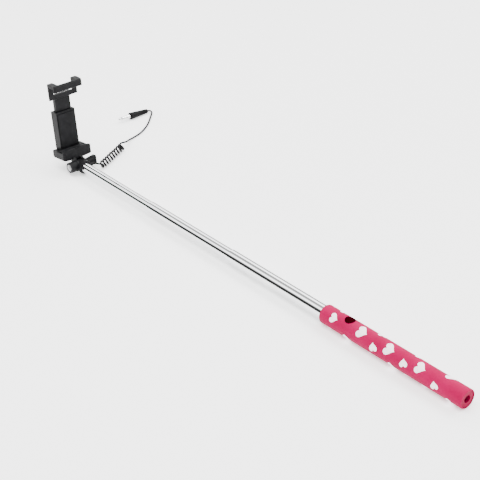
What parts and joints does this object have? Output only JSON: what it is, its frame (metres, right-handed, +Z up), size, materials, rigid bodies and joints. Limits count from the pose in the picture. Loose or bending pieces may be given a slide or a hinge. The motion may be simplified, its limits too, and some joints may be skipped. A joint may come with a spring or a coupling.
{
  "type": "selfie stick",
  "caption": "Telescopic selfie stick with a patterned pink grip, a shutter button, chrome sections, a tilting spring phone clamp and a curly lead with an audio plug.",
  "frame": {"origin": "under the middle of the stick's box, on the surface it lies on", "axes": "+X from the clamp to the butt of the grip, +Y towards the thumb knob, +Z up"},
  "size_m": [0.5061, 0.1365, 0.0814],
  "materials": {
    "pink_print": "smooth printed film",
    "pink_plastic": "satin moulded",
    "chrome": "polished",
    "steel": "plated",
    "screw": "plated",
    "brass": "turned",
    "contact": "polished",
    "board": "circuit board",
    "button": "satin",
    "bushing": "nylon",
    "black_plastic": "fine texture",
    "pad": "soft rubber",
    "cord": "smooth cable sheath",
    "plug": "moulded"
  },
  "bodies": {
    "grip": {"grip_sleeve": "pink_print", "end_cap": "pink_plastic", "outer_tube": "steel", "switch_board": "board", "snap_dome": "steel", "inner_lead": "cord"},
    "button": {"shutter_button": "button"},
    "rear_section": {"rear_tube": "chrome", "rear_bushing": "bushing"},
    "middle_section": {"middle_tube": "chrome", "middle_bushing": "bushing"},
    "head": {"front_tube": "chrome", "front_bushing": "bushing", "head_collar": "black_plastic", "friction_washers": "bushing", "cord_gland": "cord", "cord_exit": "cord", "cord_coil": "cord", "cord_tail": "cord", "plug_boot": "plug", "plug_pin": "contact"},
    "clamp": {"clamp_base": "black_plastic", "clamp_back_cover": "black_plastic", "cover_screws": "screw", "hinge_bolt": "screw", "hex_nut": "steel", "knob_washer": "steel", "lower_pad": "pad", "back_pad": "pad", "spring_pin": "steel", "jaw_springs": "steel"},
    "knob": {"thumb_knob": "black_plastic", "knob_insert": "brass"},
    "jaw": {"upper_jaw": "black_plastic"}
  },
  "joints": [
    {"name": "button_press", "type": "slide", "parent": "grip", "child": "button", "axis": [0, 0, -1], "range_m": [0, 0.00025], "stiffness_N_per_m": 300, "springref_m": -0.0005},
    {"name": "rear_slide", "type": "slide", "parent": "grip", "child": "rear_section", "axis": [1, 0, 0], "range_m": [0, 0.1], "deforming": ["inner_lead"]},
    {"name": "middle_slide", "type": "slide", "parent": "rear_section", "child": "middle_section", "axis": [1, 0, 0], "range_m": [0, 0.1], "deforming": ["inner_lead"]},
    {"name": "front_slide", "type": "slide", "parent": "middle_section", "child": "head", "axis": [1, 0, 0], "range_m": [0, 0.092], "deforming": ["inner_lead"]},
    {"name": "head_tilt", "type": "hinge", "parent": "head", "child": "clamp", "pos_m": [-0.20873, 0, 0.00745], "axis": [0, 1, 0], "range_deg": [-95, 45]},
    {"name": "knob_turn", "type": "hinge", "parent": "clamp", "child": "knob", "pos_m": [-0.20873, 0.011, 0.00745], "axis": [0, 1, 0], "continuous": true},
    {"name": "jaw_slide", "type": "slide", "parent": "clamp", "child": "jaw", "axis": [-0.1219, 0, 0.9925], "range_m": [0, 0.024], "stiffness_N_per_m": 300, "springref_m": -0.02, "deforming": ["jaw_springs"]}
  ]
}
